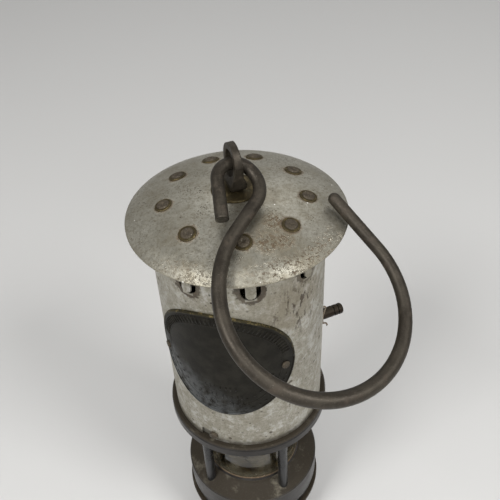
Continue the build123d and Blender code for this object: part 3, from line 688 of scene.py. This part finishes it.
def add_ridge(build, line, width, height):
    """Low rounded ridge along a line of (across, up) places on the plate."""
    profile = ((-0.5, -0.35), (-0.42, 0.45), (-0.18, 0.9), (0.18, 0.9), (0.42, 0.45), (0.5, -0.35))
    base = [on_plate(across, up, 0) for across, up in line]
    out = [(point - Vector((0, 0, point.z))).normalized() for point in base]
    rows = []
    for index, point in enumerate(base):
        ahead, behind = base[min(index + 1, len(base) - 1)], base[max(index - 1, 0)]
        side = (ahead - behind).cross(out[index]).normalized()
        rows.append([build.verts.new(point + side * width * a + out[index] * height * b) for a, b in profile])
    for row, following in zip(rows, rows[1:]):
        for a in range(len(profile)):
            b = (a + 1) % len(profile)
            build.faces.new((row[a], row[b], following[b], following[a]))
    build.faces.new(rows[0])
    build.faces.new(rows[-1])


def oval_line(share, turns):
    """Places on the plate at these turns, on an oval this share of the plate's size."""
    return [(share * math.cos(turn), share * math.sin(turn)) for turn in turns]


def plate_relief(material):
    build = bmesh.new()
    for share, width, height in ((0.975, 1.1 * MM, 0.35 * MM), (0.80, 0.5 * MM, 0.14 * MM)):
        turns = [math.radians(degree) for degree in range(0, 361, 5)]
        add_ridge(build, oval_line(share, turns), width, height)
    ribs = 40
    for rib in range(ribs + 1):
        turn = math.radians(12 + 156 * rib / ribs)
        line = [(share * math.cos(turn), share * math.sin(turn)) for share in (0.82, 0.87, 0.925)]
        add_ridge(build, line, 1.15 * MM, 0.4 * MM)
    marks = random.Random(7)
    for share, first, last, count in ((0.70, 196, 344, 17), (0.90, 198, 342, 23)):
        for mark in range(count):
            turn = math.radians(first + (last - first) * mark / (count - 1))
            reach = math.radians(marks.uniform(1.0, 2.0))
            add_ridge(build, oval_line(share, [turn - reach, turn, turn + reach]), 0.9 * MM, 0.26 * MM)
    for row, reach in ((-0.42, 0.22), (-0.60, 0.30), (-0.74, 0.36)):
        place = -reach
        while place < reach:
            line = [(place, row + 0.035 * step) for step in (-1, 0, 1)]
            add_ridge(build, line, 0.7 * MM, 0.28 * MM)
            place += marks.uniform(0.045, 0.09)
    new_piece("plate_relief", build, material, "bonnet")


# Seal wire: two strands twisted together round the nozzle, with a loop above and a curled tail

def nozzle_point(out, side, up):
    """Point beside the nozzle: out from the bonnet's axis, side along +azimuth, up along +Z."""
    low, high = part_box("side_nozzle")
    middle = (low.z + high.z) / 2
    away = Vector((math.cos(NOZZLE_AZIMUTH), math.sin(NOZZLE_AZIMUTH), 0))
    along = Vector((-math.sin(NOZZLE_AZIMUTH), math.cos(NOZZLE_AZIMUTH), 0))
    return away * out + along * side + Vector((0, 0, middle + up))


def seal_wire(material):
    seat = BONNET_RADIUS + 3.4 * MM
    hug = NOZZLE_NECK_RADIUS + 0.62 * MM
    turns = [nozzle_point(seat + 0.6 * MM * step / 12, hug * math.cos(angle), hug * math.sin(angle))
             for step, angle in enumerate(math.radians(degree) for degree in range(250, -140, -30))]
    loop = [nozzle_point(seat + out * MM, side * MM, up * MM) for out, side, up in
            ((0.2, -1.6, 3.0), (0.8, -2.4, 4.8), (0.3, -3.0, 6.6), (0.6, -2.8, 8.2), (2.0, -2.4, 8.6),
             (3.0, -2.2, 7.2), (2.4, -2.4, 5.4), (1.2, -3.2, 3.4), (0.4, -4.0, 0.6))]
    tail = [nozzle_point(seat + out * MM, side * MM, up * MM) for out, side, up in
            ((0.4, -4.0, 0.6), (0.6, -3.9, -1.8), (1.2, -3.4, -3.6), (2.4, -3.0, -4.2), (3.6, -3.0, -5.2),
             (4.0, -3.2, -6.8))]
    build = bmesh.new()
    for route in (turns, loop, tail):
        line = smooth_line(route, 7)
        for strand in (0, 1):
            points = []
            for index, point in enumerate(line):
                ahead = line[min(index + 1, len(line) - 1)] - line[max(index - 1, 0)]
                across = ahead.orthogonal().normalized()
                twist = Matrix.Rotation(index * 0.75 + strand * math.pi, 3, ahead)
                points.append(point + twist @ across * STRAND_RADIUS)
            add_tube(build, points, STRAND_RADIUS, 8)
    piece = new_piece("seal_wire_twist", build, material, "bonnet")
    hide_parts("seal_wire")


# Studio

def make_camera():
    """The view from above and in front, held a little off level."""
    level = math.cos(CAMERA_PITCH)
    ahead = Vector((math.sin(CAMERA_YAW) * level, math.cos(CAMERA_YAW) * level, -math.sin(CAMERA_PITCH)))
    right = ahead.cross(Vector((0, 0, 1))).normalized()
    up = right.cross(ahead)
    tilted = right * math.cos(CAMERA_ROLL) + up * math.sin(CAMERA_ROLL)
    upward = -right * math.sin(CAMERA_ROLL) + up * math.cos(CAMERA_ROLL)
    camera = bpy.data.objects.new("camera", bpy.data.cameras.new("camera"))
    camera.data.lens = LENS_MM
    camera.data.sensor_width = SENSOR_MM
    camera.data.clip_start = 0.01
    camera.matrix_world = Matrix((tilted, upward, -ahead)).transposed().to_4x4()
    camera.location = CAMERA_PLACE
    bpy.context.scene.collection.objects.link(camera)
    bpy.context.scene.camera = camera


def area_light(name, place, target, size, power, colour=(1, 1, 1)):
    lamp = bpy.data.objects.new(name, bpy.data.lights.new(name, "AREA"))
    lamp.data.shape = "RECTANGLE"
    lamp.data.size, lamp.data.size_y = size
    lamp.data.energy = power
    lamp.data.color = colour
    lamp.location = place
    lamp.rotation_euler = (Vector(target) - Vector(place)).to_track_quat("-Z", "Y").to_euler()
    bpy.context.scene.collection.objects.link(lamp)


def make_studio():
    build = bmesh.new()
    corners = [build.verts.new((x * FLOOR_REACH, y * FLOOR_REACH, 0))
               for x, y in ((-1, -1), (1, -1), (1, 1), (-1, 1))]
    build.faces.new(corners)
    bmesh.ops.subdivide_edges(build, edges=build.edges[:], cuts=6, use_grid_fill=True)
    mesh = bpy.data.meshes.new("floor")
    build.to_mesh(mesh)
    build.free()
    mesh.materials.append(floor_paper())
    floor = bpy.data.objects.new("floor", mesh)
    bpy.context.scene.collection.objects.link(floor)
    world = bpy.data.worlds.new("studio")
    world.use_nodes = True
    background = world.node_tree.nodes["Background"]
    background.inputs["Color"].default_value = (*LIGHT, 1)
    background.inputs["Strength"].default_value = 0.37
    bpy.context.scene.world = world
    area_light("left_key", (-0.62, -0.62, 1.15), (0, 0, 0.15), (0.4, 0.4), 10, LIGHT)
    area_light("right_key", (0.70, -0.62, 1.10), (0, 0, 0.15), (0.4, 0.4), 9.5, LIGHT)
    area_light("back", (0.2, 1.1, 1.3), (0, 0, 0.15), (1.2, 0.6), 2.5)
    area_light("front_fill", (0.1, -1.3, 0.7), (0, -0.15, 0.05), (1.2, 0.8), 5)
    bpy.context.scene.view_settings.view_transform = "Standard"


gauze_material = dress_cad_nodes()
for gauze_node in ("outer_gauze", "inner_gauze"):
    wire_gauze(gauze_node, gauze_material)
plate_relief(nodes["identification_plate"].data.materials[0])
seal_wire(nodes["pricker_rod"].data.materials[0])
make_camera()
make_studio()
